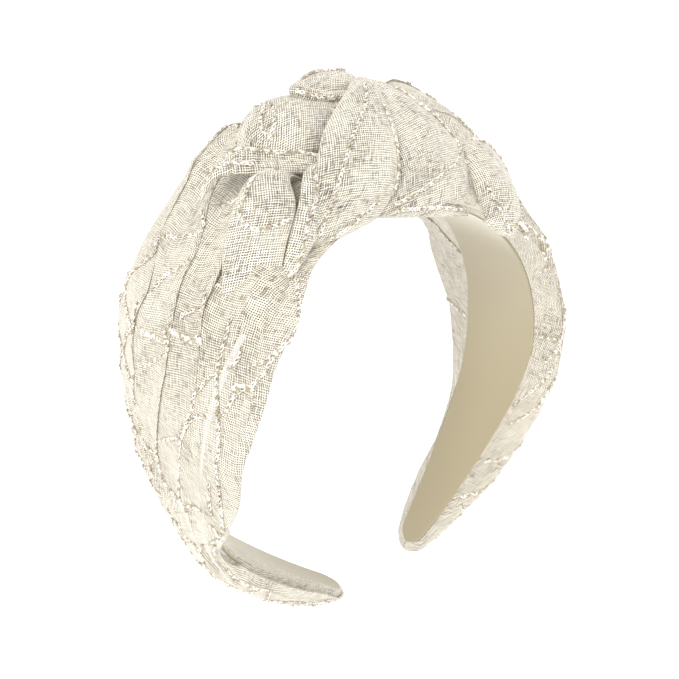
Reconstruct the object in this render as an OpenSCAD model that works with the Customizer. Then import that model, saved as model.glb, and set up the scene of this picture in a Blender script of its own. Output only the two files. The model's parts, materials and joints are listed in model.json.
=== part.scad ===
// Knotted headband: a springy C-shaped core band, lined inside and wrapped in
// sheer embroidered cloth that is tied into a soft knot over the crown.
//
// The origin is the centre of the round inner arch. X runs from ear to ear,
// with the wearer's view of the knot from -Y, +Y is the back and +Z is up.
// The core bends as the legs are spread, so every layer of the band is built
// in three spans: a crown, a left leg (-X) and a right leg (+X).

/* [Band] */
// Inner radius of the arch, lining face to centre
inner_r = 62; // [58:0.5:68]
// Half-width of the lining over the crown
band_half_w = 15.8; // [13:0.2:17]
// Half-width of the rounded tips
tip_half_w = 3.9; // [3:0.1:5]
// Length of each leg's taper, along the leg from its tip
taper_len = 86; // [60:1:110]
// Slope, below horizontal, where the round arch turns into the flatter leg
turn_deg = 34; // [28:1:40]
// Radius of the flatter lower leg
leg_r = 263; // [200:5:350]
// Slope, below horizontal, at the leg's tip
tip_deg = 46.2; // [44:0.2:50]

/* [Layers] */
// Thickness of the satin lining ribbon
lining_t = 0.6; // [0.4:0.1:1]
// Thickness of the adhesive film under the lining
film_t = 0.2; // [0.1:0.05:0.3]
// Thickness of the moulded core band
core_t = 2.2; // [1.6:0.1:2.6]
// Thickness of the opaque base cloth laid over the core
base_t = 0.8; // [0.5:0.1:1]
// Free space kept between one layer and the next
layer_gap = 0.05; // [0.02:0.01:0.1]

/* [Flexing] */
// Slope of the place on each shoulder where the leg bends away
flex_deg = 38; // [34:1:42]
// Half-gap between spans of the thin layers, in degrees of arch
layer_gap_deg = 0.7; // [0.6:0.1:1]
// Half-gap between spans of the thick cloth, in degrees of arch
cloth_gap_deg = 2; // [1.8:0.1:2.5]

/* [Cloth sleeves] */
// Half-width of the sleeve at the shoulder
sleeve_half_w = 31; // [26:0.5:32]
// Half-width of the sleeve at its tip
sleeve_tip_w = 6; // [5.5:0.5:8]
// Radius of the sleeve's outer arch
sleeve_r = 71; // [70:0.5:74]
// Height of the outer arch's centre above the inner arch's centre
sleeve_rise = 5; // [3:0.5:7]
// Distance that the cloth keeps outside the lining's round face
cloth_clear = 1.2; // [1:0.1:1.5]
// Height of the sleeve's ridge over the lower leg
leg_cloth_h = 5.6; // [5.4:0.1:5.8]
// Length of cloth that pokes out past each tip
tip_tuck = 3.6; // [2:0.2:5]

/* [Knot] */
// Inner radius of the loops tied round the band
loop_r = 23; // [22.5:0.5:24]
// Thickness of each loop's padded roll
loop_t = 6.5; // [5:0.5:7]
// Width of the front loop
front_loop_w = 24; // [20:1:26]
// Twist of the loops across the band, towards the left at the front
loop_skew = 30; // [20:1:34]
// Half-width of the cloth where it passes under the loops
neck_half_w = 17; // [16.9:0.1:17.5]
// Half-width of the gathered cloth beside the knot
gather_half_w = 27; // [24:0.5:28]
// Slope of the place where each gather meets the knot
gather_deg = 52; // [50:1:54]

/* [Stitching] */
// Radius of one embroidered cord
stitch_r = 0.5; // [0.3:0.05:0.7]

/* [Hidden] */
$fn = 96;
deg = 180 / PI;

// The lower leg overlaps the round arch a little, so that the two fuse
seam_deg = 0.1;

// Size of the rolled fold that lies on the front loop
roll_r = 3.2;
roll_len = 14;

// Width of the cloth end folded over each tip
tip_fold_w = 6.4;

// Front loop of the knot: place across the crown, and where it starts and ends
// round the band, in degrees
front_loop_x = -3;
front_loop_arc = [10, 170];

// Side loops: place, width and lean, and where each starts and ends
side_loop_t = loop_t - 1;
right_loop_x = 24;
right_loop_w = 22;
right_loop_lean = 14;
right_loop_arc = [18, 164];
left_loop_x = -30;
left_loop_w = 20;
left_loop_lean = -14;
left_loop_arc = [16, 162];

// Heart of the knot: height, and the height and radius of its rounded top
heart_h = 10;
heart_top = 13.5;
heart_r = 26;

// Flat folds: place round the arch in degrees, height, thickness and width
flat_fold_arc = [114, 124];
flat_fold_h = 14;
flat_fold_t = 2;
flat_fold_w = 28;

// Bulb beside the right loop
bulb_r = 4;
bulb_place = [38.5, -21.5, 62];

// Embroidered cords: places across the cloth, and the gap under each
leg_cord_places = [-12, 0, 12];
knot_cord_places = [-9, 6];
cord_gap = 0.35;

// Tacking stitches: places round the arch in degrees, radius, and gap beside
// the base cloth
tack_degs = [76, 90, 104];
tack_r = 0.25;
tack_gap = 0.35;

// Heights above the lining's face, layer by layer
film_h = lining_t + layer_gap;
core_h = film_h + film_t + layer_gap;
base_h = core_h + core_t + layer_gap;
cloth_h = base_h + base_t + layer_gap;

// The lower leg is an arc about a far centre, tangent to the round arch
leg_len = leg_r * (tip_deg - turn_deg) / deg;
leg_cx = (inner_r - leg_r) * cos(turn_deg);
leg_cz = -(inner_r - leg_r) * sin(turn_deg);
side_len = leg_len + inner_r * (turn_deg + 90) / deg;

// The core and the film stop a little short of the lining's edges, and the base
// cloth reaches past the core's
core_half_w = band_half_w - 0.4;
edge_wrap = base_t + layer_gap;

// Height of the leg's inner face at a distance l from the tip, along the leg
function leg_angle(l) = l < leg_len ? -tip_deg + l / leg_r * deg : -turn_deg + (l - leg_len) / inner_r * deg;
function leg_z(l) = l < leg_len ? leg_cz + leg_r * sin(leg_angle(l)) : inner_r * sin(leg_angle(l));

// Half-width of a band l from its tip: a rounded end, then a steady taper
function taper(l, tip_w, full_w) = tip_w + (full_w - tip_w) * pow(min(max(l, 0) / taper_len, 1), 0.8);
function rounded(l, w) = l < w ? sqrt(max(0, w * w - (w - l) * (w - l))) : w;
function band_w(l, grow) = rounded(l, taper(l, tip_half_w, band_half_w) + grow);

// Sleeves are fullest at the shoulder and slimmer beside the ear
function sleeve_w(l) = taper(l, sleeve_tip_w, 20)
    + (sleeve_half_w - 20) * pow(sin(90 * min(1, max(0, (l - 60) / 90))), 2);

// The same direction seen from the raised centre of the sleeve's outer arch
function raised_deg(a) = atan2(sleeve_r * sin(a) - sleeve_rise, sleeve_r * cos(a));

// Radius of the sleeve's domed face, and how far it drops y off its ridge
dome_r = 64;
function dome_drop(y) = dome_r - sqrt(dome_r * dome_r - y * y);

// Sweeps a profile of (height above the lining's face, Y) round part of the arch
module arch(from, to, rise = 0, radius = inner_r) {
    translate([0, 0, rise]) rotate([90, 0, 0]) rotate([0, 0, from])
        rotate_extrude(angle = to - from) translate([radius, 0]) children();
}

// The same for the flatter lower leg
module lower_leg() {
    translate([leg_cx, 0, leg_cz]) rotate([90, 0, 0]) rotate([0, 0, -tip_deg])
        rotate_extrude(angle = tip_deg - turn_deg + seam_deg, $fn = 360) translate([leg_r, 0]) children();
}

// A whole right leg, from its tip up to the shoulder
module right_leg(gap_deg) {
    arch(-turn_deg, flex_deg - gap_deg) children();
    lower_leg() children();
}

module crown(gap_deg) {
    arch(flex_deg + gap_deg, 180 - flex_deg - gap_deg) children();
}

module left() {
    mirror([1, 0, 0]) children();
}

// A slab with the band's tapering outline, seen from the side
module outline(grow = 0) {
    steps = 22;
    side = [for (i = [0:steps]) let(l = pow(i / steps, 1.6) * side_len) [band_w(l, grow), leg_z(l)]];
    silhouette(side);
}

module sleeve_outline() {
    steps = 22;
    low = leg_z(0) - leg_cloth_h;
    side = [for (i = [0:steps]) let(l = pow(i / steps, 1.3) * side_len) [sleeve_w(l), leg_z(l)]];
    silhouette(concat([[sleeve_tip_w - 1, low]], side));
}

// A symmetric slab through a list of (half-width, height) points
module silhouette(side) {
    top = [[side[len(side) - 1][0], inner_r + 40]];
    half = concat(side, top);
    mirrored = [for (i = [len(half) - 1:-1:0]) [-half[i][0], half[i][1]]];
    rotate([90, 0, 90]) translate([0, 0, -inner_r - 40]) linear_extrude(2 * inner_r + 80)
        polygon(concat(half, mirrored));
}

// Everything between two slopes of the arch
module sector(from, to) {
    arch(from, to, 0, 0) translate([1, -40]) square([120, 80]);
}

// Flat ribbon of thickness t lying at height h
module ribbon(h, t) {
    translate([h, -30]) square([t, 60]);
}

// Each thin layer is one ribbon, cut to the band's outline
module leg_layer(h, t, grow) {
    intersection() {
        right_leg(layer_gap_deg) ribbon(h, t);
        outline(grow);
    }
}

module crown_layer(h, t, half_w) {
    crown(layer_gap_deg) translate([h, -half_w]) square([t, 2 * half_w]);
}

module core_crown() {
    color("ivory") crown_layer(core_h, core_t, core_half_w);
}

module core_leg() {
    color("ivory") leg_layer(core_h, core_t, core_half_w - band_half_w);
}

module lining_crown() {
    color("tan") crown_layer(0, lining_t, band_half_w);
}

module lining_leg() {
    color("tan") leg_layer(0, lining_t, 0);
}

module film_crown() {
    color("lightgray") crown_layer(film_h, film_t, core_half_w);
}

module film_leg() {
    color("lightgray") leg_layer(film_h, film_t, core_half_w - band_half_w);
}

// The base cloth lies over the core's outer face and reaches past its edges
module base_cloth_crown() {
    color("linen") crown_layer(base_h, base_t, core_half_w + edge_wrap);
}

module base_cloth_leg() {
    color("linen") leg_layer(base_h, base_t, core_half_w - band_half_w + edge_wrap);
}

// The space that the core fills inside a leg's cloth, open at the shoulder
module leg_tunnel(grow, from_h, to_h) {
    intersection() {
        right_leg(-5) ribbon(from_h, to_h - from_h);
        outline(grow);
    }
}

// Domed cross-section from a flat foot up to its ridge, thin at both edges
module dome(foot_h, ridge_h) {
    intersection() {
        translate([ridge_h - dome_r, 0]) circle(r = dome_r, $fn = 180);
        translate([foot_h, -sleeve_half_w - 2]) square([ridge_h - foot_h, 2 * sleeve_half_w + 4]);
    }
}

// Puffed cloth round part of the arch, clear of the head's space
module puffed_arch(from, to, ridge_r) {
    difference() {
        arch(from, to, sleeve_rise, 0) dome(inner_r - sleeve_rise - 2, ridge_r);
        rotate([90, 0, 0]) cylinder(r = inner_r + cloth_clear, h = 80, center = true, $fn = 180);
    }
}

// A sleeve: its outer arch is higher than the band, so it thins towards the
// ear, and its edges reach round the core's edges
module sleeve_leg() {
    color("linen") difference() {
        intersection() {
            union() {
                puffed_arch(raised_deg(-turn_deg) - 1, flex_deg, sleeve_r);
                lower_leg() dome(cloth_clear + 0.2, leg_cloth_h);
            }
            sleeve_outline();
        }
        sector(flex_deg - cloth_gap_deg, flex_deg + 30);
        leg_tunnel(core_half_w - band_half_w + edge_wrap + 0.3, -3, cloth_h);
    }
}

// The cloth end folded over the tip, just beyond the core and the sleeve
module tip_fold() {
    color("linen") translate([leg_cx, 0, leg_cz]) rotate([90, 0, 0])
        rotate([0, 0, -tip_deg - tip_tuck / leg_r * deg])
            rotate_extrude(angle = (tip_tuck - 0.3) / leg_r * deg, $fn = 360)
                translate([leg_r, -tip_fold_w / 2]) square([leg_cloth_h - 0.6, tip_fold_w]);
}

// Where the sleeves are gathered up to the knot
module gather_right() {
    color("linen") difference() {
        intersection() {
            puffed_arch(flex_deg - 10, gather_deg + 10, sleeve_r + 1);
            arch(flex_deg + cloth_gap_deg, gather_deg, 0, 0)
                translate([1, -gather_half_w]) square([120, 2 * gather_half_w]);
        }
        arch(flex_deg, gather_deg + 3) translate([-3, -neck_half_w]) square([cloth_h + 3, 2 * neck_half_w]);
    }
}

// The crossed cloth hidden inside the knot
module knot_heart() {
    color("linen") arch(gather_deg + 0.5, 179.5 - gather_deg) intersection() {
        translate([cloth_h, -neck_half_w]) square([heart_h, 2 * neck_half_w]);
        translate([heart_top - heart_r, 0]) circle(r = heart_r);
    }
}

// One padded loop tied round the band: a lens-shaped roll in a C
module knot_loop(x, width, thick, arc, lean = 0) {
    lens_r = (width * width + thick * thick) / (4 * thick);
    translate([x, 0, inner_r]) rotate([0, lean, -loop_skew]) rotate([90, 0, 90]) rotate([0, 0, arc[0]])
        rotate_extrude(angle = arc[1] - arc[0]) intersection() {
            translate([loop_r + lens_r, 0]) circle(r = lens_r);
            translate([loop_r + thick - lens_r, 0]) circle(r = lens_r);
        }
}

module knot_front_loop() {
    color("linen") knot_loop(front_loop_x, front_loop_w, loop_t, front_loop_arc);
}

module knot_right_loop() {
    color("linen") knot_loop(right_loop_x, right_loop_w, side_loop_t, right_loop_arc, right_loop_lean);
}

module knot_left_loop() {
    color("linen") knot_loop(left_loop_x, left_loop_w, side_loop_t, left_loop_arc, left_loop_lean);
}

// Small rolled fold lying over the back of the front loop
module knot_top_roll() {
    color("linen") translate([front_loop_x, 0, inner_r + loop_r + loop_t + roll_r + 0.1]) rotate([0, 90, -loop_skew]) {
        cylinder(r = roll_r, h = roll_len, center = true);
        for (end = [-1, 1]) translate([0, 0, end * roll_len / 2]) sphere(r = roll_r);
    }
}

// Thin folds laid flat between the left loop and the left gather
module knot_flat_fold() {
    color("linen") arch(flat_fold_arc[0], flat_fold_arc[1])
        translate([flat_fold_h, -flat_fold_w / 2]) square([flat_fold_t, flat_fold_w]);
}

// Small bulb of cloth where the right loop tucks in
module knot_right_bulb() {
    color("linen") translate(bulb_place) sphere(r = bulb_r);
}

module gather_left() {
    left() gather_right();
}

// Embroidered cords that follow the domed sleeve a little above its face
module leg_cord(y) {
    arch(raised_deg(4 - turn_deg), raised_deg(flex_deg - cloth_gap_deg - 1), sleeve_rise, 0)
        translate([sleeve_r - dome_drop(y) + stitch_r + cord_gap, y]) circle(r = stitch_r, $fn = 16);
}

module stitching_leg() {
    color("floralwhite") for (y = leg_cord_places) leg_cord(y);
}

module stitching_knot() {
    color("floralwhite") for (y = knot_cord_places) {
        arch(raised_deg(flex_deg + cloth_gap_deg + 1), raised_deg(gather_deg - 1), sleeve_rise, 0)
            translate([sleeve_r + 1 - dome_drop(y) + stitch_r + cord_gap, y]) circle(r = stitch_r, $fn = 16);
    }
}

// Stitches that hold the knot's cloth to the band at both of its edges
module tacking_thread() {
    color("white") for (side = [-1, 1], a = tack_degs) {
        rotate([0, 90 - a, 0]) translate([0, side * (core_half_w + edge_wrap + tack_gap), inner_r + core_h])
            cylinder(r = tack_r, h = cloth_h - core_h, $fn = 16);
    }
}

core_crown();
left() core_leg();  // core_left_leg
core_leg();  // core_right_leg
lining_crown();
left() lining_leg();  // lining_left_leg
lining_leg();  // lining_right_leg
film_crown();
left() film_leg();  // film_left_leg
film_leg();  // film_right_leg
base_cloth_crown();
left() base_cloth_leg();  // base_cloth_left_leg
base_cloth_leg();  // base_cloth_right_leg
left() sleeve_leg();  // sleeve_left_leg
sleeve_leg();  // sleeve_right_leg
gather_left();
gather_right();
knot_heart();
knot_front_loop();
knot_right_loop();
knot_left_loop();
knot_top_roll();
knot_flat_fold();
knot_right_bulb();
left() stitching_leg();  // stitching_left
stitching_leg();  // stitching_right
stitching_knot();
left() tip_fold();  // tip_fold_left
tip_fold();  // tip_fold_right
tacking_thread();
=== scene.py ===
# %% [markdown]
# # A knotted headband
# A springy plastic C is lined with satin, covered with cream cloth and dressed in a puffed tube of
# sheer, embroidered linen that is tied in a knot over the crown. The CAD frame gives the core, the
# sizes and the joints. Here each soft piece is made as the cloth it is, and the threads are laid on it.

# %% Load the frame
import json
import math
import bpy
import numpy as np
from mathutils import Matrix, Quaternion, Vector


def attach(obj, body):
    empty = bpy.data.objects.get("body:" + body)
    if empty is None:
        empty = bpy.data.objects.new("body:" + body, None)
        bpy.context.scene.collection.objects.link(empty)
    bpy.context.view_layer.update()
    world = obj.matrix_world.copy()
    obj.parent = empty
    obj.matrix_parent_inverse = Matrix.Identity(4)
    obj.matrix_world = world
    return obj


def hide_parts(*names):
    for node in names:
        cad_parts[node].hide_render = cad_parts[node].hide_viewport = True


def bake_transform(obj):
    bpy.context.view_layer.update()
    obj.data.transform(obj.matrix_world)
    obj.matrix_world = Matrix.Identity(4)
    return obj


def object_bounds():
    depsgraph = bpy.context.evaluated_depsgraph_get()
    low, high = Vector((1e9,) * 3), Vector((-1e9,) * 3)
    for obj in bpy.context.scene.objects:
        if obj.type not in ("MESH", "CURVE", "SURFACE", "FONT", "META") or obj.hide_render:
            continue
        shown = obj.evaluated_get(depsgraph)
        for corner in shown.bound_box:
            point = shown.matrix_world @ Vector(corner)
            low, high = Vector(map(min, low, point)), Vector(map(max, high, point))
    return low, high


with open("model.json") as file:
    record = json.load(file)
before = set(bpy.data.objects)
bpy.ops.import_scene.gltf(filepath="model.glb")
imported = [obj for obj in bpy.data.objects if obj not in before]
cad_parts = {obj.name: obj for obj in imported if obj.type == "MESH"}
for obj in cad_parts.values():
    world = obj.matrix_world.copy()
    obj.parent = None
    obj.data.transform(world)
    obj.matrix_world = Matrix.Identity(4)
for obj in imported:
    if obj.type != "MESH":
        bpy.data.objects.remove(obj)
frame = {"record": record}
cad_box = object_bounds()
MM = 0.001  # metres in a millimetre
mount = frame["record"]["mounts"][0]["dims"]
ARCH_R = mount["r_mm"]
BAND_HALF = mount["length_mm"] / 2
print("arch radius", ARCH_R, "mm, band half-width", BAND_HALF, "mm")

# %% [markdown]
# ## The view
# The band is seen from its front left and above, with a slight tilt of the camera. The lens is a
# little longer than a normal one, so the near leg doesn't look too large. The camera could be placed
# by eye, but three angles and a distance are easier to read and to change.

# %% Camera
VIEW_AZ, VIEW_EL, VIEW_ROLL = math.radians(-32.7), math.radians(32.4), math.radians(-6.2)
VIEW_DISTANCE = 0.282
VIEW_AIM = Vector((0.0016, 0.0083, 0.0123))

toward = Vector((math.sin(VIEW_AZ) * math.cos(VIEW_EL), -math.cos(VIEW_AZ) * math.cos(VIEW_EL),
                 math.sin(VIEW_EL)))
camera = bpy.data.objects.new("camera", bpy.data.cameras.new("camera"))
camera.data.lens = 48
camera.data.clip_start = 0.01
camera.location = VIEW_AIM + toward * VIEW_DISTANCE
turn = toward.to_track_quat("Z", "Y") @ Quaternion((0, 0, 1), VIEW_ROLL)
camera.rotation_euler = turn.to_euler()
bpy.context.collection.objects.link(camera)
bpy.context.scene.camera = camera
print("camera at", [round(v, 3) for v in camera.location])

# %% [markdown]
# ## The arch
# Every layer of the band follows one line: a round arch that turns into two flatter legs. A place on
# the band is given by `s`, the distance along the lining from the middle of the crown (positive to the
# right), `h`, the height above the lining's face, and `y`, the distance from the band's middle. All are
# in millimetres. Flat cloth could be bent with a curve modifier, but a formula also gives every other
# piece its place.

# %% The arch as a function
TURN = math.radians(34)  # how far below level the round arch runs
TIP = math.radians(46.2)  # how far the tip leans inwards from upright
LEG_R = 263.0  # radius of a leg's gentle curve
ROUND_LEN = ARCH_R * (math.pi / 2 + TURN)  # from the crown to where a leg begins
SIDE_LEN = ROUND_LEN + LEG_R * (TIP - TURN)  # from the crown to the tip
TIP_HALF = 3.9  # half-width that the lining tapers to
TAPER_LEN = 86  # length of the taper
TAPER_CURVE = 0.8  # below 1, the width grows fastest near the tip


def arch(s, h, y):
    """Points in millimetres at distance s along the band, height h and offset y."""
    s, h, y = np.broadcast_arrays(np.asarray(s, float), np.asarray(h, float), np.asarray(y, float))
    a = np.abs(s)
    low = a > ROUND_LEN
    angle = np.where(low, -TURN - (a - ROUND_LEN) / LEG_R, math.pi / 2 - a / ARCH_R)
    radius = np.where(low, LEG_R, ARCH_R) + h
    cx = np.where(low, (ARCH_R - LEG_R) * math.cos(TURN), 0)
    cz = np.where(low, -(ARCH_R - LEG_R) * math.sin(TURN), 0)
    x = cx + radius * np.cos(angle)
    return np.stack([np.where(s < 0, -x, x), y, cz + radius * np.sin(angle)], -1)


def lining_half(s):
    """Half-width of the lining: full over the crown, tapering to rounded tips."""
    left = np.maximum(SIDE_LEN - np.abs(s), 0)
    width = TIP_HALF + (BAND_HALF - TIP_HALF) * np.minimum(left / TAPER_LEN, 1) ** TAPER_CURVE
    return np.where(left < width, np.sqrt(np.maximum(width ** 2 - (width - left) ** 2, 0)), width)


def along(s, table):
    """A smooth value that passes through the (s, value) pairs of a short table."""
    keys = np.array([k for k, v in table], float)
    values = np.array([v for k, v in table], float)
    slope = np.gradient(values, keys)
    i = np.clip(np.searchsorted(keys, s) - 1, 0, len(keys) - 2)
    width = keys[i + 1] - keys[i]
    t = np.clip((s - keys[i]) / width, 0, 1)
    return ((1 + 2 * t) * (1 - t) ** 2 * values[i] + t * (1 - t) ** 2 * width * slope[i]
            + t * t * (3 - 2 * t) * values[i + 1] + t * t * (t - 1) * width * slope[i + 1])


print("each side is", round(SIDE_LEN, 1), "mm from crown to tip")

# %% [markdown]
# ## Rumples
# Cloth never repeats itself, so the pleats are bent by a smooth random field. Blender's own noise
# could do it, but a table of fixed random numbers, blended between its points, works on whole grids
# at once and is the same on every run.

# %% Smooth random field
FIELD = 64  # rows and columns of the table


def rumple(u, v, seed):
    """A smooth random field of about -1 to 1, with features about one unit across."""
    table = np.random.RandomState(seed).uniform(-1, 1, (FIELD, FIELD))
    u, v = np.broadcast_arrays(np.asarray(u, float), np.asarray(v, float))
    iu, iv = np.floor(u).astype(int), np.floor(v).astype(int)
    fu, fv = u - iu, v - iv
    fu, fv = fu ** 3 * (fu * (fu * 6 - 15) + 10), fv ** 3 * (fv * (fv * 6 - 15) + 10)
    i, j, next_i, next_j = iu % FIELD, iv % FIELD, (iu + 1) % FIELD, (iv + 1) % FIELD
    a, b, c, d = table[i, j], table[next_i, j], table[i, next_j], table[next_i, next_j]
    return (a * (1 - fu) + b * fu) * (1 - fv) + (c * (1 - fu) + d * fu) * fv


def crumple(u, v, seed):
    """Sharper random folds: ridges where the field changes sign."""
    return 1 - 2 * np.abs(rumple(u, v, seed)) - 0.4 * np.abs(rumple(2.1 * u, 2.1 * v, seed + 1))


def ease(t):
    """Goes from 0 to 1 with no corner at either end."""
    t = np.clip(t, 0, 1)
    return t * t * (3 - 2 * t)


print("the random field repeats every", FIELD, "units")

# %% [markdown]
# ## From a grid to cloth
# A sheet of cloth is a grid of points. Its UV map is measured along the threads in metres, so the
# weave keeps its scale wherever the sheet is gathered, puffed or narrow. Unwrapping the mesh would
# give a map too, but not one that follows the threads.


def unit(vectors):
    """Vectors scaled to length 1."""
    return vectors / np.maximum(np.linalg.norm(vectors, axis=-1, keepdims=True), 1e-9)


def normals_of(points):
    """Unit normals of a grid of points."""
    du, dv = np.gradient(points, axis=0), np.gradient(points, axis=1)
    return unit(np.cross(du, dv))


def thread_map(points):
    """Distances in metres along and across a grid, measured from its middle."""
    def run(axis):
        step = np.linalg.norm(np.diff(points, axis=axis), axis=-1)
        pad = [(1, 0), (0, 0)] if axis == 0 else [(0, 0), (1, 0)]
        total = np.cumsum(np.pad(step, pad), axis=axis)
        middle = np.take(total, [total.shape[axis] // 2], axis=axis)
        return (total - middle) * MM
    return np.stack([run(1), run(0)], -1)


def quads_of(index):
    """The four corners of every cell of a grid of numbers."""
    return np.stack([index[:-1, :-1], index[1:, :-1], index[1:, 1:], index[:-1, 1:]], -1).reshape(-1, 4)


def cloth_object(name, points, flip=False, wrap=False):
    """A sheet of cloth from a grid of points in millimetres, with its thread map as UVs.

    A wrapped grid is a flattened tube, which is closed at both ends.
    """
    rows, columns = points.shape[:2]
    index = np.arange(rows * columns).reshape(rows, columns)
    whole = points
    if wrap:
        index = np.concatenate([index, index[:, :1]], 1)
        whole = np.concatenate([points, points[:, :1]], 1)
    faces = quads_of(index)
    corners = quads_of(np.arange(whole.shape[0] * whole.shape[1]).reshape(whole.shape[:2]))
    if flip:
        faces, corners = faces[:, ::-1], corners[:, ::-1]
    uv = thread_map(whole).reshape(-1, 2)[corners.ravel()]
    faces = faces.tolist()
    if wrap:
        faces += [index[0, :-1].tolist(), index[-1, -2::-1].tolist()]
        uv = np.concatenate([uv, np.zeros((2 * columns, 2))])
    mesh = bpy.data.meshes.new(name)
    mesh.from_pydata((points.reshape(-1, 3) * MM).tolist(), [], faces)
    layer = mesh.uv_layers.new(name="threads")
    layer.data.foreach_set("uv", uv.ravel())
    mesh.polygons.foreach_set("use_smooth", [True] * len(mesh.polygons))
    mesh.update()
    piece = bpy.data.objects.new(name, mesh)
    bpy.context.collection.objects.link(piece)
    return piece


# %% [markdown]
# ## Sleeves
# Each leg is covered by the puffed tube of sheer cloth. It is gathered at the knot, fullest at the
# shoulder, slim beside the ear and folded to a narrow end at the tip. Its front and back hems turn
# under and end at the lining's edges. The pleats fan out from the knot, so they are waves in `q`, the
# place across the sleeve from its back hem (-1) to its front hem (1). A simulated cloth would fall into
# pleats of its own, but here each has to lie in its place, so they are worked out.

# %% Sleeve shapes
# Each list holds (s, value) pairs. `front` and `back` are the puffed half-widths, `ridge` the height
# and `lean` how far the ridge sits towards the back. `steep` says how full (below 1) or hollow (above
# 1) the front is, and `lap` how far the front hem laps over the lining.
LEFT_SLEEVE = {
    "front": [(6, 19), (16, 20), (24, 22), (32, 28), (44, 35), (56, 38.5), (70, 39.5), (82, 38.5),
              (92, 34), (102, 27), (112, 18), (134, 15.5), (160, 12), (182, 7.6), (193, 4.6)],
    "back": [(6, 17), (24, 20), (34, 24), (46, 27), (62, 26), (76, 22), (90, 18), (106, 16.3),
             (134, 15), (160, 11), (182, 7.4), (193, 4.6)],
    "ridge": [(6, 21), (14, 25), (22, 23), (32, 19.5), (44, 16.5), (56, 13.5), (68, 10.5), (80, 8.0),
              (92, 6.4), (104, 5.8), (116, 6.8), (134, 9.6), (160, 9.8), (180, 7.8), (193, 4.4)],
    "lean": [(6, 12), (24, 12), (44, 9), (62, 6), (90, 0), (134, 0), (193, 0)],
    "steep": [(6, 1.3), (20, 1.3), (36, 1.0), (56, 0.85), (193, 0.85)],
    "lap": [(6, 0), (90, 0), (102, 3), (112, 9), (124, 11), (140, 9), (160, 5), (180, 1.5), (193, 0)],
}
RIGHT_SLEEVE = {
    "front": [(6, 18), (18, 19), (30, 21), (42, 23.5), (54, 26), (68, 26), (84, 26), (104, 25.5),
              (120, 23.5), (136, 21), (156, 17), (176, 11), (193, 5)],
    "back": [(6, 17), (18, 19), (28, 24), (38, 29), (54, 34), (74, 36), (92, 35), (108, 27), (122, 20.5),
             (134, 15.5), (150, 12.5), (170, 12), (184, 9), (193, 5.5)],
    "ridge": [(6, 16), (16, 22), (26, 28), (36, 28.5), (46, 23), (54, 17.4), (64, 14), (76, 11.4), (90, 10),
              (110, 8.8), (134, 7.8), (160, 7), (182, 6), (193, 4)],
    "lean": [(6, 12), (26, 15), (44, 13), (60, 7), (90, 2), (134, 0), (193, 0)],
    "steep": [(6, 2.2), (24, 2.2), (38, 1.8), (56, 1.0), (80, 0.85), (193, 0.85)],
    "lap": [(6, 0), (90, 0), (134, 0.5), (193, 0)],
}
CLOTH_END = 3.2  # how far the cloth runs past the lining's tip
ROUND_END = 5.0  # length over which that end is rounded
SLEEVE_START = 7  # where the sleeves come out of the knot
HEM = 0.3  # share of `q` on each side that is turned under
HEM_LIFT = 2.2  # height at which the cloth turns under
CLEARANCE = 4.4  # height that clears the core and the base cloth


def sleeve_section(s, q, shape):
    """Offset and height of the smooth, unpleated sleeve at distance s and place q."""
    edge = 1 - HEM
    phi = np.clip(q / edge, -1, 1) * math.pi / 2
    half = np.where(q > 0, along(s, shape["front"]), along(s, shape["back"]))
    ridge, lean = along(s, shape["ridge"]), along(s, shape["lean"])
    foot = np.minimum(HEM_LIFT, ridge * 0.5)
    y = lean * np.cos(phi) - half * np.sin(phi)
    steep = np.where(q > 0, along(s, shape["steep"]), 0.85)
    h = foot + (ridge - foot) * np.cos(phi) ** steep
    under = np.clip((np.abs(q) - edge) / HEM, 0, 1)
    lap = np.where(q > 0, along(s, shape["lap"]), 0)
    inner = -np.sign(q) * (lining_half(s) + 0.3 - lap)
    tucked = np.clip(lap / 2, 0, 1)
    start = 0.3 * tucked
    inward = ease((under - start) / (1 - start))
    down = ease(under / (1 - 0.7 * tucked))
    y = y * (1 - inward) + inner * inward
    h = h * (1 - down) + (0.45 - 1.3 * tucked) * down
    return y, h, phi, under


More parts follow.
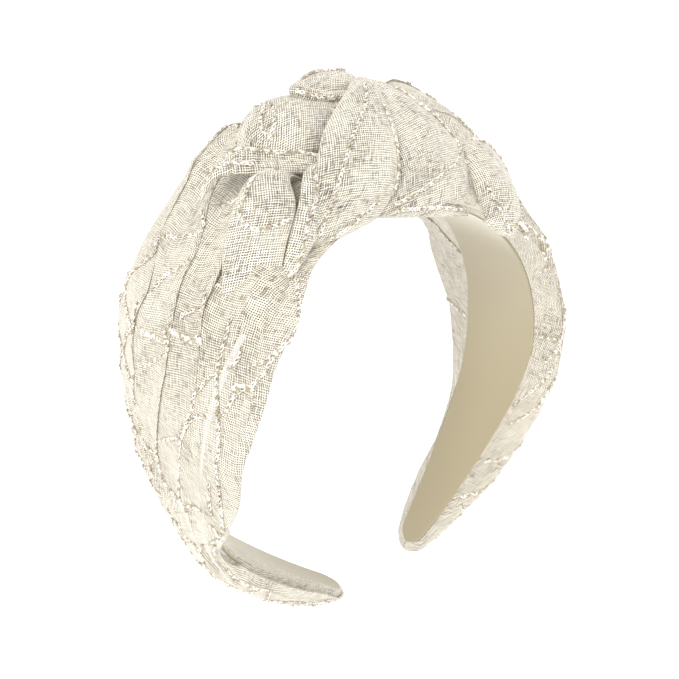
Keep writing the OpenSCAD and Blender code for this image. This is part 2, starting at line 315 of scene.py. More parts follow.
def sleeve_points(side, shape, pleats, depth, seed, rows=430, columns=200):
    """The pleated sleeve as a grid of points, from the knot to the tip."""
    s = np.linspace(SLEEVE_START, SIDE_LEN + CLOTH_END, rows)[:, None]
    q = np.linspace(-1, 1, columns)[None, :]
    wander = 0.95 * rumple(s / 30, q * 2.4 + 9, seed) + 0.22 * rumple(s / 12, q * 5, seed + 5)
    count = pleats * (0.5 + 0.5 * q) + wander  # pleats, counted from the back hem
    loose = np.clip((s - 50) / 50, 0, 1)  # 0 near the knot, 1 down the leg
    slip = (0.55 - 0.33 * loose) * np.sin(2 * math.pi * count) / pleats  # crowds the cloth at the ridges
    y, h, phi, under = sleeve_section(s, np.clip(q + slip * (1 - np.abs(q)), -1, 1), shape)
    amount = along(s, depth) * (1 - under) * (0.7 + 0.6 * rumple(s / 20, count, seed + 2))
    soft = 0.55 + 0.6 * np.clip((s - 20) / 60, 0, 1)  # valleys are sharp near the knot, softer below it
    fold = amount * (np.abs(np.sin(math.pi * count)) ** soft - 0.6)
    fold = fold + 0.32 * amount * crumple(s / 17, count * 0.9, seed + 3)
    fold = fold + 0.16 * (1 - under) * crumple(s / 5.5, q * 9, seed + 7)
    y = y - fold * np.sin(phi)
    h = h + fold * np.cos(phi)
    clear = ease((lining_half(s) + 2.6 - np.abs(y)) / 1.8)
    floor = 0.3 + CLEARANCE * clear * (under < 0.5)
    h = np.where(under < 0.5, np.maximum(h, floor + 0.12 * fold), h)
    near_end = np.clip((s - (SIDE_LEN + CLOTH_END - ROUND_END)) / ROUND_END, 0, 1)  # rounds the tip
    closing = np.sqrt(1 - 0.98 * near_end ** 2)
    y, h = y * closing, 1.6 + (h - 1.6) * closing
    return arch(side * s, h, y)


# %% Sleeves
# How deep the pleats are, as (s, depth) pairs.
LEFT_DEPTH = [(6, 2.6), (26, 3.2), (44, 2.4), (64, 1.6), (84, 1.4), (104, 1.6), (134, 1.6), (193, 0.5)]
RIGHT_DEPTH = [(6, 2.4), (30, 2.8), (50, 2.2), (90, 1.6), (134, 1.4), (193, 0.5)]
left_points = sleeve_points(-1, LEFT_SLEEVE, pleats=10, depth=LEFT_DEPTH, seed=11)
right_points = sleeve_points(1, RIGHT_SLEEVE, pleats=9, depth=RIGHT_DEPTH, seed=31)
left_sleeve = cloth_object("left_sleeve_cloth", left_points)
right_sleeve = cloth_object("right_sleeve_cloth", right_points, flip=True)

# %% [markdown]
# ## Knot
# The cloth tube is tied once over the crown. Each fold that shows is a strap of doubled cloth. A
# strap is given by a few stations, and each station by its two edges and by how far the cloth puffs
# up between them. Rumples and pleats run along the strap. Modelling the knot as one tied tube was
# the other choice, but its folds could not be placed one by one.

# %% Straps
UPPER_SHARE = 0.62  # share of a strap's points across that lie on its upper side


def smooth_rows(rows, count):
    """Rows of numbers joined by a smooth curve that passes through them."""
    rows = np.array(rows, float)
    keys = np.arange(len(rows))
    place = np.linspace(0, len(rows) - 1, count)
    return np.stack([along(place, list(zip(keys, rows[:, i]))) for i in range(rows.shape[1])], 1)


def strap_points(stations, seed, pleats=3, depth=0.5, belly=1.2, rows=170, columns=120, round_to=0.55):
    """A closed, flattened tube of cloth through stations of (left edge, right edge, puff)."""
    table = smooth_rows([list(a) + list(b) + [puff] for a, b, puff in stations], rows)
    left, right, puff = table[:, :3], table[:, 3:6], np.maximum(table[:, 6:], 0.4)
    across = right - left
    up = unit(np.cross(np.gradient((left + right) / 2, axis=0), across))
    top = int(columns * UPPER_SHARE)
    # Across the upper side from edge to edge, and back along the lower side.
    v = np.concatenate([np.linspace(0, 1, top), np.linspace(1, 0, columns - top + 2)[1:-1]])
    upper = (np.arange(columns) < top)[None, :]
    bow = np.abs(np.sin(math.pi * v)) ** round_to  # 0 at both edges, 1 in the middle
    u = np.linspace(0, len(stations) - 1, rows)[:, None]
    v = v[None, :]
    wander = 0.5 * rumple(u * 1.1, v * 2, seed)
    fold = np.abs(np.sin(math.pi * (pleats * v + wander))) ** 0.6 - 0.6
    size = depth * (0.7 + 0.6 * rumple(u * 1.6 + 3, v * 3, seed + 1))
    lift = size * fold + 0.35 * depth * crumple(u * 2.2, v * 3.2, seed + 2)
    lift = lift + 0.12 * crumple(u * 6, v * 9, seed + 4)
    rise = np.where(upper, puff * bow + lift * bow ** 0.5, -belly * bow)
    return left[:, None] + across[:, None] * v[..., None] + up[:, None] * rise[..., None]


# %% Folds of the knot
KNOT = {
    "front_leaf": dict(seed=3, pleats=1.6, depth=0.5, stations=[
        ((17, 20, 80), (22, 20, 76), 1), ((16, 12, 87), (22, 12, 85), 1.5),
        ((11, 5, 90), (19, 5, 88.5), 2.5), ((1, -3, 89), (18, -1, 86), 3),
        ((-8, -9, 85.5), (16, -8, 79.5), 3.5),
        ((-14, -14, 80), (12.5, -13, 74), 4), ((-18, -18, 73.5), (7.5, -17, 68.5), 3.5),
        ((-21.5, -20, 66.5), (0, -20, 65), 2.2), ((-21, -17, 60.5), (-2, -17, 63.5), 1)]),
    "right_fold": dict(seed=17, pleats=2.4, depth=0.8, stations=[
        ((18, 18, 84), (26, 18, 80), 1), ((17, 8, 87), (25, 10, 86), 2), ((15, 0, 82.5), (34, 6, 79), 4),
        ((10, -7, 76), (40, 2, 72), 5.5), ((6, -12, 70.5), (41.5, -4, 66), 5.5),
        ((2, -16, 66.5), (39, -10, 61), 4.5), ((0, -18.5, 64.8), (35, -16, 54.5), 3),
        ((0, -18, 62.8), (32, -18, 52.3), 1)]),
    "left_pouf": dict(seed=29, pleats=1.6, depth=0.5, stations=[
        ((-25, 4, 78), (-23, 8, 82), 1), ((-22, 0, 83), (-17, 10, 89), 4),
        ((-18.5, -3, 82), (-10, 13, 89.5), 5.5), ((-13, -6, 80.5), (-1, 13, 88.5), 6),
        ((-5, -6, 80.5), (8, 11, 86.5), 5), ((3, -3, 81), (13, 6, 84), 3), ((9, 0, 80), (15, 4, 80), 1)]),
    "narrow_front_pleat": dict(seed=67, pleats=1.0, depth=0.4, belly=0.8, stations=[
        ((-12, -10, 77), (-8, -10, 76), 0.6), ((-16.5, -12, 79), (-12, -13, 77.5), 1.6),
        ((-22, -17, 74.5), (-16.5, -18, 71.5), 2), ((-27.5, -19.5, 67.5), (-21, -20, 64.5), 2),
        ((-32, -21, 60.5), (-27.5, -20.5, 58.5), 1.6), ((-37.5, -23, 54), (-34.5, -22.5, 52), 0.6)]),
    "wide_front_pleat": dict(seed=73, pleats=1.6, depth=0.6, belly=0.8, stations=[
        ((-24, -5, 77), (-15, -8, 76), 1), ((-30, -7, 79.5), (-20, -11, 78), 2.5),
        ((-37, -10, 74.5), (-23, -17, 73.5), 3), ((-42.5, -13, 66.5), (-29, -20, 66), 2.6),
        ((-46, -16, 58.5), (-35, -23, 57), 1.2), ((-49, -19, 50), (-41, -26, 48), 0.4)]),
    "top_flap": dict(seed=37, pleats=1.2, depth=0.3, stations=[
        ((-5, 6.5, 92.5), (-4, 8.5, 94), 0.8), ((-2, 5, 90.5), (2.5, 11, 94.5), 2.2),
        ((4, 5, 88.5), (9, 13, 93), 2.6), ((10, 6, 88), (15.5, 13, 91.5), 2),
        ((14, 8, 87), (19, 13, 89.5), 1)]),
    "top_roll": dict(seed=43, pleats=0.6, depth=0.2, belly=1.8, stations=[
        ((-2, 10, 91), (-1, 11, 93), 0.6), ((-5, 7, 91), (-4, 8, 94), 1.5),
        ((-3, 4, 90), (-1, 5, 93), 1.7), ((2, 3, 88), (3, 4.5, 91), 1.7),
        ((9, 3, 86), (10, 5, 89.5), 1.4), ((14, 5, 84), (15, 7, 87), 0.8)]),
    "upper_flat_fold": dict(seed=53, pleats=1.2, depth=0.3, belly=0.8, stations=[
        ((-35, -1, 79), (-33, 2, 81), 0.5), ((-30, -3, 83.5), (-28, -0.5, 85.5), 1),
        ((-22, -5.5, 81), (-20.5, -2, 83.8), 1.2), ((-14, -7.5, 79.2), (-12, -4.5, 81.5), 1.2),
        ((-8, -10, 77), (-7, -7, 79.5), 1), ((-2, -8, 75), (-1, -6, 77), 0.6)]),
    "lower_flat_fold": dict(seed=59, pleats=1.2, depth=0.3, belly=0.8, stations=[
        ((-41, -3, 77), (-39, -1, 79), 0.5), ((-36, -4.5, 82), (-34.5, -2, 84), 1),
        ((-26, -7, 80), (-25, -3.5, 82.5), 1.4), ((-16, -9, 77.8), (-15, -6, 80.3), 1.4),
        ((-9, -11, 75.5), (-8, -8.5, 78.5), 1), ((-2, -9, 73.5), (-1, -7, 76), 0.6)]),
    "right_bulb": dict(seed=61, pleats=1.4, depth=0.4, round_to=0.45, stations=[
        ((45, 2, 66), (55, 4, 61.5), 1), ((42.5, -5, 65), (56, -1, 58), 4.5),
        ((39, -12, 61), (55.5, -7, 51.5), 6), ((36, -18, 56.5), (52.5, -15, 46.5), 6),
        ((34, -22.5, 52.5), (48.5, -21.5, 43), 3.5), ((34, -22, 50.8), (46, -21, 41.5), 0.8)]),
    "back_wrap": dict(seed=79, pleats=2.4, depth=0.8, stations=[
        ((14, 3, 82), (0, 3, 82), 1), ((19, 11, 85.5), (-3, 11, 86), 3), ((23, 19, 82), (-8, 19, 83), 4.5),
        ((24, 25, 74), (-12, 25, 75), 5), ((22, 25, 66), (-13, 25, 67), 4),
        ((19, 20, 61), (-12, 20, 62.5), 2), ((17, 16.5, 60.5), (-11, 16.5, 61.8), 0.6)]),
}

# %% Knot pieces
knot_cloth = {}
for name, plan in KNOT.items():
    knot_cloth[name] = cloth_object(name, strap_points(**plan), wrap=True)

# %% [markdown]
# ## Embroidery
# Shiny thread crosses the cloth in an uneven diamond pattern. Each line is a chain stitch: two strands
# that cross each other every millimetre and a half. On a sleeve a line is given by places `(s, q)`,
# on a strap of the knot by fractions of its length and width. Where a line is worked heavily, it has
# short thick satin bars instead. The lines could be drawn in the material, but real thread stands off
# the cloth and breaks its outline, so it is made as thin tubes.

# %% Stitch lines on the sleeves
LEFT_LINES = [
    [(14, 0.32), (26, 0.22), (34, 0.12), (43, -0.08), (52, -0.3), (60, -0.55), (66, -0.8)],
    [(28, 0.62), (33, 0.67), (38, 0.69), (43, 0.72)],
    [(40, 0.12), (44, 0.08), (51, 0.05), (58, -0.08), (70, -0.35), (78, -0.6), (84, -0.8)],
    [(39, 0.37), (44, 0.28), (48, 0.22), (54, 0.19), (60, 0.1), (67, 0.04), (73, -0.03), (86, -0.3),
     (96, -0.6)],
    [(44, 0.39), (55, 0.41), (64, 0.44), (74, 0.49), (84, 0.54), (99, 0.62)],
    [(48, 0.52), (54, 0.42), (62, 0.36), (73, 0.23), (89, 0.0), (100, -0.2), (110, -0.5)],
    [(41, 0.69), (49, 0.63), (59, 0.52), (65, 0.4), (74, 0.23)],
    [(50, 0.57), (43, 0.69)],
    [(74, 0.23), (84, 0.21), (93, 0.18), (97, 0.28)],
    [(79, 0.42), (90, 0.48)],
    [(97, 0.18), (90, 0.36)],
    [(98, 0.6), (104, 0.5), (110, 0.42), (120, 0.3), (132, 0.0), (144, -0.5)],
    [(104, 0.6), (120, 0.62), (135, 0.62), (147, 0.66)],
    [(150, 0.45), (166, 0.55), (184, 0.63)],
    [(6, -0.1), (16, -0.15), (26, -0.35), (36, -0.6), (42, -0.8)],
    [(12, -0.12), (16, 0.02), (20, 0.14)],
    [(36, -0.6), (50, -0.45), (60, -0.1)],
    [(52, -0.75), (60, -0.55), (67, -0.3), (73, -0.03)],
    [(78, -0.6), (84, -0.3), (89, 0.0), (97, 0.2)],
    [(96, -0.6), (104, -0.2), (110, 0.1), (118, 0.4)],
    [(112, -0.5), (128, 0.1), (142, 0.6)],
    [(140, -0.5), (158, 0.0), (176, 0.5)],
    [(145, 0.66), (160, 0.0), (176, -0.5)],
]
LEFT_BARS = [
    [(60, -0.1), (58, 0.05), (54, 0.2), (51, 0.34)],
    [(93, 0.46), (97, 0.6)],
    [(25, 0.57), (30, 0.62)],
    [(57, 0.5), (54, 0.6)],
    [(95, 0.2), (93, 0.3)],
]
RIGHT_LINES = [
    [(30, 0.25), (38, 0.45), (46, 0.55), (56, 0.62), (64, 0.72)],
    [(42, 0.42), (48, 0.6), (54, 0.78)],
    [(60, 0.6), (66, 0.72), (72, 0.82)],
    [(70, 0.55), (84, 0.6), (96, 0.7), (108, 0.85)],
    [(96, 0.62), (98, 0.8), (99, 0.92)],
    [(84, 0.6), (104, 0.72), (118, 0.85), (128, 0.95)],
    [(110, 0.6), (122, 0.75), (134, 0.9)],
    [(134, 0.55), (142, 0.7), (150, 0.9)],
    [(150, 0.5), (158, 0.7), (166, 0.9)],
    [(166, 0.9), (172, 0.6), (180, 0.4)],
    [(52, -0.62), (62, -0.72), (72, -0.85), (80, -0.98)],
    [(76, -0.66), (68, -0.8), (60, -0.97)],
    [(104, -0.68), (106, -0.98)],
    [(6, 0.05), (16, 0.12), (26, 0.25), (33, 0.33)],
    [(10, -0.5), (40, 0.1), (70, 0.55)],
    [(20, -0.65), (60, 0.0), (84, 0.6)],
    [(50, -0.6), (80, -0.1), (110, 0.6)],
    [(80, -0.6), (110, 0.0), (134, 0.55)],
    [(110, -0.6), (135, 0.0), (150, 0.5)],
    [(140, -0.6), (165, 0.0), (185, 0.5)],
    [(36, 0.45), (50, 0.0), (66, -0.6)],
    [(60, 0.6), (76, 0.1), (96, -0.6)],
    [(84, 0.6), (105, 0.05), (126, -0.6)],
    [(110, 0.6), (130, 0.1), (150, -0.6)],
    [(134, 0.55), (156, 0.0), (176, -0.6)],
]
RIGHT_BARS = [
    [(31, 0.3), (35, 0.34)],
    [(48, 0.6), (52, 0.68)],
    [(118, 0.7), (122, 0.76)],
]
print(len(LEFT_LINES), "stitch lines on the left sleeve,", len(RIGHT_LINES), "on the right sleeve")

# %% Stitch lines on the knot
KNOT_LINES = [
    ("front_leaf", [(0.3, 0.5), (0.39, 0.5), (0.51, 0.34), (0.62, 0.25), (0.73, 0.17), (0.88, 0.08)]),
    ("front_leaf", [(0.4, 0.8), (0.47, 0.86), (0.6, 0.93), (0.7, 0.96), (0.79, 0.96)]),
    ("front_leaf", [(0.8, 0.8), (0.86, 0.5), (0.9, 0.2)]),
    ("right_fold", [(0.3, 0.75), (0.42, 0.85), (0.55, 0.93), (0.66, 0.8), (0.72, 0.55), (0.78, 0.3),
                    (0.83, 0.1)]),
    ("right_fold", [(0.87, 0.1), (0.88, 0.5), (0.9, 0.85)]),
    ("right_fold", [(0.2, 0.85), (0.3, 0.95), (0.42, 0.97)]),
    ("right_bulb", [(0.12, 0.2), (0.22, 0.6), (0.38, 0.86), (0.58, 0.92), (0.76, 0.8), (0.88, 0.4)]),
    ("right_bulb", [(0.5, 0.05), (0.66, 0.12), (0.8, 0.3), (0.88, 0.6)]),
    ("left_pouf", [(0.2, 0.95), (0.24, 0.75), (0.21, 0.3), (0.26, 0.08)]),
    ("left_pouf", [(0.26, 0.08), (0.31, 0.5), (0.27, 0.9)]),
    ("upper_flat_fold", [(0.15, 0.75), (0.4, 0.6), (0.6, 0.6), (0.85, 0.5)]),
    ("lower_flat_fold", [(0.12, 0.6), (0.38, 0.5)]),
    ("top_flap", [(0.1, 0.8), (0.4, 0.92), (0.75, 0.9)]),
    ("top_roll", [(0.25, 0.5), (0.45, 0.4), (0.7, 0.4)]),
    ("wide_front_pleat", [(0.2, 0.2), (0.42, 0.15), (0.5, 0.4), (0.5, 0.7), (0.47, 0.97)]),
    ("narrow_front_pleat", [(0.15, 0.5), (0.35, 0.55), (0.5, 0.4), (0.7, 0.5), (0.9, 0.5)]),
    ("back_wrap", [(0.2, 0.1), (0.45, 0.3), (0.65, 0.6), (0.85, 0.9)]),
    ("back_wrap", [(0.2, 0.9), (0.5, 0.65), (0.7, 0.4), (0.85, 0.2)]),
]
print(len(KNOT_LINES), "stitch lines on the knot")


# %% Lines on a grid
def polyline(points, step):
    """Points at even steps along a smooth curve through a list of points."""
    fine = smooth_rows(points, 40 * len(points))
    run = np.concatenate([[0], np.cumsum(np.linalg.norm(np.diff(fine, axis=0), axis=1))])
    place = np.linspace(0, run[-1], max(int(run[-1] / step), 4))
    return np.stack([np.interp(place, run, fine[:, i]) for i in range(fine.shape[1])], 1)


def on_grid(grid, path):
    """Points of a cloth grid at the fractional (row, column) places of a path."""
    row = np.clip(path[:, 0], 0, grid.shape[0] - 1.001)
    column = np.clip(path[:, 1], 0, grid.shape[1] - 1.001)
    i, j = row.astype(int), column.astype(int)
    a, b = (row - i)[:, None], (column - j)[:, None]
    return ((grid[i, j] * (1 - a) + grid[i + 1, j] * a) * (1 - b)
            + (grid[i, j + 1] * (1 - a) + grid[i + 1, j + 1] * a) * b)


def smoothed(points, reach):
    """A running mean, so that thread spans narrow creases instead of diving into them."""
    kernel = np.ones(2 * reach + 1) / (2 * reach + 1)
    padded = np.pad(points, ((reach, reach), (0, 0)), mode="edge")
    return np.stack([np.convolve(padded[:, i], kernel, mode="valid") for i in range(3)], 1)


# %% Chain stitch
TILT = (0.31, 0.52, 0.8)  # any direction that stitch lines don't follow


def tube(points, radius, sides=5):
    """Rings of points round a line, with a radius for each point."""
    run = unit(np.gradient(points, axis=0))
    side = unit(np.cross(run, TILT))
    other = np.cross(run, side)
    angle = np.linspace(0, 2 * math.pi, sides, endpoint=False)
    return (points[:, None] + radius[:, None, None] * (side[:, None] * np.cos(angle)[None, :, None]
                                                       + other[:, None] * np.sin(angle)[None, :, None]))


STITCH = 2.9  # length of one stitch
STEP = 0.36  # distance between the rings of a strand
REACH = max(int(0.6 / STEP), 1)  # how many rings the smoothing takes in on each side
STRAND = 0.235  # radius of a strand
BAR = 0.24  # least radius of a bar, which doubles at its middle


def chain_stitch(grid, normals, path, bars=False):
    """The two strands of a chain stitch, or the bars of a satin stitch, along a path on a grid."""
    centre = smoothed(polyline(on_grid(grid, path), STEP), REACH)
    place, known = np.linspace(0, 1, len(centre)), np.linspace(0, 1, len(path))
    normal = on_grid(normals, path)
    normal = np.stack([np.interp(place, known, normal[:, i]) for i in range(3)], 1)
    normal = unit(smoothed(normal, REACH))
    side = unit(np.cross(np.gradient(centre, axis=0), normal))
    ring = np.arange(len(centre))
    ends = np.minimum(1, np.minimum(ring, ring[::-1]) / 2)
    turn = 2 * math.pi * ring * STEP / STITCH
    strands = []
    for phase in (0, math.pi):
        if bars:
            sway = np.full(len(centre), 0.3 * math.cos(phase))
            lift = np.full(len(centre), 0.35)
            thick = BAR + BAR * np.abs(np.sin(turn / 2)) ** 0.5
        else:
            sway = 0.42 * np.sin(turn + phase)
            lift = 0.34 + 0.16 * np.cos(turn + phase)
            thick = STRAND + 0.05 * np.sin(2 * (turn + phase) + 1)
        strands.append(tube(centre + side * sway[:, None] + normal * lift[:, None], thick * ends))
    return strands


# %% Thread pieces
def thread_object(name, strands):
    """One mesh object from many strands."""
    vertices, faces, start = [], [], 0
    for ring in strands:
        rows, sides = ring.shape[:2]
        index = start + np.arange(rows * sides).reshape(rows, sides)
        following = np.roll(index, -1, axis=1)
        faces.append(np.stack([index[:-1], following[:-1], following[1:], index[1:]], -1).reshape(-1, 4))
        vertices.append(ring.reshape(-1, 3))
        start += rows * sides
    mesh = bpy.data.meshes.new(name)
    mesh.from_pydata((np.concatenate(vertices) * MM).tolist(), [], np.concatenate(faces).tolist())
    mesh.polygons.foreach_set("use_smooth", [True] * len(mesh.polygons))
    piece = bpy.data.objects.new(name, mesh)
    bpy.context.collection.objects.link(piece)
    print(name, len(mesh.polygons), "faces")
    return piece


def sleeve_stitching(name, points, lines, bars, outward):
    """All the stitching of one sleeve."""
    rows, columns = points.shape[:2]
    normals = normals_of(points) * outward
    row_per_mm = (rows - 1) / (SIDE_LEN + CLOTH_END - SLEEVE_START)
    strands = []
    for line, heavy in [(line, False) for line in lines] + [(line, True) for line in bars]:
        places = [((s - SLEEVE_START) * row_per_mm, (q + 1) / 2 * (columns - 1)) for s, q in line]
        strands += chain_stitch(points, normals, polyline(places, 1.0), heavy)
    return thread_object(name, strands)


def knot_stitching():
    """The stitching on the folds of the knot."""
    strands = []
    for name, line in KNOT_LINES:
        points = strap_points(**KNOT[name])
        rows, top = points.shape[0], int(points.shape[1] * UPPER_SHARE)
        places = [(u * (rows - 1), v * (top - 1)) for u, v in line]
        strands += chain_stitch(points, normals_of(points), polyline(places, 1.0))
    return thread_object("knot_embroidery", strands)


left_thread = sleeve_stitching("left_embroidery", left_points, LEFT_LINES, LEFT_BARS, outward=1)
right_thread = sleeve_stitching("right_embroidery", right_points, RIGHT_LINES, RIGHT_BARS, outward=-1)
knot_thread = knot_stitching()

# %% [markdown]
# ## Lining
# The lining is a satin ribbon whose long edges are turned back on themselves, which leaves a thin
# rolled rim. A plane with a thick edge could stand for it, but the rim is what catches the light, so it
# is part of the grid. The lining is made in two halves that meet at the crown.

# %% Lining
RIM = 0.55  # radius of the rolled rim


def lining_points(side, rows=260):
    """Half of the lining: flat across, with a rolled rim along both edges and round the tip."""
    s = (1 - (1 - np.linspace(0, 1, rows)) ** 1.6)[:, None] * SIDE_LEN
    rim = np.linspace(0, 1, 9)[None, :]
    width = np.maximum(lining_half(s), 0.02)
    flat_q = np.linspace(-1, 1, 41)[None, 1:-1]
    roll = np.minimum(RIM, width * 0.4)
    flat_y = flat_q * (width - roll)
    flat_h = 0.02 + 0.12 * (1 - flat_q ** 2) + 0 * s
    rim_y = (width - roll) + roll * np.sin(rim * math.pi)
    rim_h = 0.9 * RIM * (1 - np.cos(rim * math.pi)) + 0 * s
    y = np.concatenate([-rim_y[:, ::-1], flat_y, rim_y], 1)
    h = np.concatenate([rim_h[:, ::-1], flat_h, rim_h], 1)
    return arch(side * s, h - 0.02, y)


left_lining = cloth_object("left_lining_satin", lining_points(-1))
right_lining = cloth_object("right_lining_satin", lining_points(1),
                            flip=True)

# %% [markdown]
# ## Base cloth
# Under the sheer tube the plastic core is covered with plain cream cloth. It shows through the sheer
# cloth, so it could be left to the core's own colour, but it also hides the core's edges, and so it is a
# sheet of its own. Like the lining, it is made in two halves. Its edges wrap round the core and end
# behind the lining.

# %% Base cloth
BASE_H = 3.6  # height of the cloth over the core
BASE_EDGE = 0.82  # share of its half-width that lies flat before it turns down


def base_points(side, rows=200):
    """Half of the base cloth: over the core, with its edges turned down to the lining."""
    s = np.linspace(0, 1, rows)[:, None] * (SIDE_LEN - 1.2)
    width = np.maximum(lining_half(s) - 0.5, 0.3)
    q = np.linspace(-1, 1, 61)[None, :]
    turn = np.clip((np.abs(q) - BASE_EDGE) / (1 - BASE_EDGE), 0, 1)
    y = np.sign(q) * width * (np.minimum(np.abs(q) / BASE_EDGE, 1) - 0.02 * np.sin(math.pi * turn))
    h = BASE_H - 2.7 * turn ** 1.3 + 0.05 * rumple(s / 9, q * 3, 71) * (1 - turn)
    return arch(side * s, h, y)


left_base = cloth_object("left_base_cloth", base_points(-1), flip=True)
right_base = cloth_object("right_base_cloth", base_points(1))

# %% [markdown]
# ## Weave
# Sheer linen is a plain weave: threads one way and the other, with small gaps between them and thicker
# stretches, called slubs, in the threads. Threads this fine could be modelled only at a great cost, so
# the weave is a node group, which every woven material shares.

# %% Node helpers
def new_group(name, inputs, outputs):
    """A node group with its sockets, and the nodes that hold its inputs and outputs."""
    group = bpy.data.node_groups.new(name, "ShaderNodeTree")
    for label, kind, value in inputs:
        socket = group.interface.new_socket(label, in_out="INPUT", socket_type=kind)
        if value is not None:
            socket.default_value = value
    for label, kind in outputs:
        group.interface.new_socket(label, in_out="OUTPUT", socket_type=kind)
    return group, group.nodes.new("NodeGroupInput"), group.nodes.new("NodeGroupOutput")


def add(tree, kind, **settings):
    """A new node in a tree."""
    node = tree.nodes.new(kind)
    for key, value in settings.items():
        setattr(node, key, value)
    return node


def join(tree, source, target):
    """A link from an output to an input."""
    tree.links.new(source, target)


def maths(tree, operation, a, b=None, c=None, clamp=False):
    """The output of a maths node, whose inputs are numbers or sockets."""
    node = add(tree, "ShaderNodeMath", operation=operation, use_clamp=clamp)
    for i, value in enumerate((a, b, c)):
        if value is None:
            continue
        if isinstance(value, (int, float)):
            node.inputs[i].default_value = value
        else:
            join(tree, value, node.inputs[i])
    return node.outputs[0]


def noise_at(tree, place, scale, detail=2):
    """Smooth noise read at a place."""
    node = add(tree, "ShaderNodeTexNoise")
    node.inputs["Scale"].default_value = scale
    node.inputs["Detail"].default_value = detail
    join(tree, place, node.inputs["Vector"])
    return node.outputs["Fac"]


# %% Weave group
SLUB_LONG, SLUB_ACROSS = 260, 2600  # slubs in a metre, along a thread and across the threads
PATCHES = 45  # thinner and denser patches in a metre


def weave_group():
    """Masks of a plain weave: how much thread covers a place, and how high it stands."""
    inputs = [("Vector", "NodeSocketVector", None), ("Pitch", "NodeSocketFloat", 0.0006),
              ("Slub", "NodeSocketFloat", 0.9)]
    outputs = [("Cover", "NodeSocketFloat"), ("Height", "NodeSocketFloat")]
    group, given, result = new_group("plain_weave", inputs, outputs)
    split = add(group, "ShaderNodeSeparateXYZ")
    join(group, given.outputs["Vector"], split.inputs[0])
    threads, slubs = [], []
    for axis, scale in enumerate(((SLUB_LONG, SLUB_ACROSS, 1), (SLUB_ACROSS, SLUB_LONG, 1))):
        turns = maths(group, "DIVIDE", split.outputs[axis], given.outputs["Pitch"])
        wave = maths(group, "SINE", maths(group, "MULTIPLY", turns, 2 * math.pi))
        threads.append(maths(group, "MULTIPLY_ADD", wave, 0.5, 0.5))
        mapping = add(group, "ShaderNodeMapping")
        mapping.inputs["Scale"].default_value = scale
        join(group, given.outputs["Vector"], mapping.inputs["Vector"])
        slubs.append(noise_at(group, mapping.outputs[0], 1, detail=1))
    high = maths(group, "MAXIMUM", *threads)
    streak = maths(group, "ADD", slubs[0], maths(group, "SUBTRACT", slubs[1], 1))
    slub = maths(group, "MULTIPLY", streak, given.outputs["Slub"])
    gap = maths(group, "MULTIPLY_ADD", noise_at(group, given.outputs["Vector"], PATCHES), 0.5, 0.29)
    thread = maths(group, "ADD", maths(group, "SUBTRACT", high, gap), slub)
    join(group, maths(group, "MULTIPLY", thread, 2.6, clamp=True), result.inputs["Cover"])
    join(group, high, result.inputs["Height"])
    return group


plain_weave = weave_group()
print(plain_weave.name, "has", len(plain_weave.nodes), "nodes")

# %% [markdown]
# ## Cloth, satin and thread
# The sheer cloth is see-through between its threads and closes up where it is seen at a slant. The
# satin's weave is too fine to see; the satin is given a painted sheen, paler at a slant. The embroidery
# thread is shiny, with a sparkle from place to place, and its darker patches are partly its own uneven
# tone and partly painted shade. One flat colour for each would be quicker, but would lose the depth of
# the cloth.

# %% Material helpers
def new_material(name):
    """A material with one shader, its node tree and the shader."""
    material = bpy.data.materials.new(name)
    material.use_nodes = True
    tree = material.node_tree
    tree.nodes.clear()
    output = add(tree, "ShaderNodeOutputMaterial")
    shader = add(tree, "ShaderNodeBsdfPrincipled")
    join(tree, shader.outputs[0], output.inputs["Surface"])
    return material, tree, shader


def ramp(tree, fac, dark, light, low=0.0, high=1.0):
    """A colour that runs from dark to light as a value goes from low to high."""
    node = add(tree, "ShaderNodeValToRGB")
    node.color_ramp.elements[0].position, node.color_ramp.elements[1].position = low, high
    node.color_ramp.elements[0].color = (*dark, 1)
    node.color_ramp.elements[1].color = (*light, 1)
    join(tree, fac, node.inputs["Fac"])
    return node.outputs["Color"]


def woven(tree, pitch):
    """The plain weave in a material, with its threads along and across the strip of cloth."""
    uv = add(tree, "ShaderNodeUVMap", uv_map="threads")
    weave = add(tree, "ShaderNodeGroup", node_tree=plain_weave)
    weave.inputs["Pitch"].default_value = pitch
    join(tree, uv.outputs[0], weave.inputs["Vector"])
    return weave


def slant_of(tree, blend):
    """How far a surface turns away from the view."""
    node = add(tree, "ShaderNodeLayerWeight")
    node.inputs["Blend"].default_value = blend
    return node.outputs["Facing"]


def raise_threads(tree, shader, weave, strength, depth):
    """Bumps where the threads of a weave stand high."""
    bump = add(tree, "ShaderNodeBump")
    bump.inputs["Strength"].default_value = strength
    bump.inputs["Distance"].default_value = depth
    join(tree, weave.outputs["Height"], bump.inputs["Height"])
    join(tree, bump.outputs[0], shader.inputs["Normal"])


# %% Sheer linen
def sheer_linen(name, light, dark, pitch, see_through=0.5):
    """A plain-weave cloth with dark gaps, which are partly see-through."""
    material, tree, shader = new_material(name)
    weave = woven(tree, pitch)
    cover = maths(tree, "MAXIMUM", weave.outputs["Cover"], slant_of(tree, 0.3))
    join(tree, ramp(tree, cover, dark, light, 0.0, 0.9), shader.inputs["Base Color"])
    alpha = maths(tree, "MULTIPLY_ADD", cover, see_through, 1 - see_through)
    join(tree, alpha, shader.inputs["Alpha"])
    raise_threads(tree, shader, weave, 0.35, 0.0002)
    shader.inputs["Roughness"].default_value = 0.75
    shader.inputs["Sheen Weight"].default_value = 0.25
    shader.inputs["Specular IOR Level"].default_value = 0.25
    return material


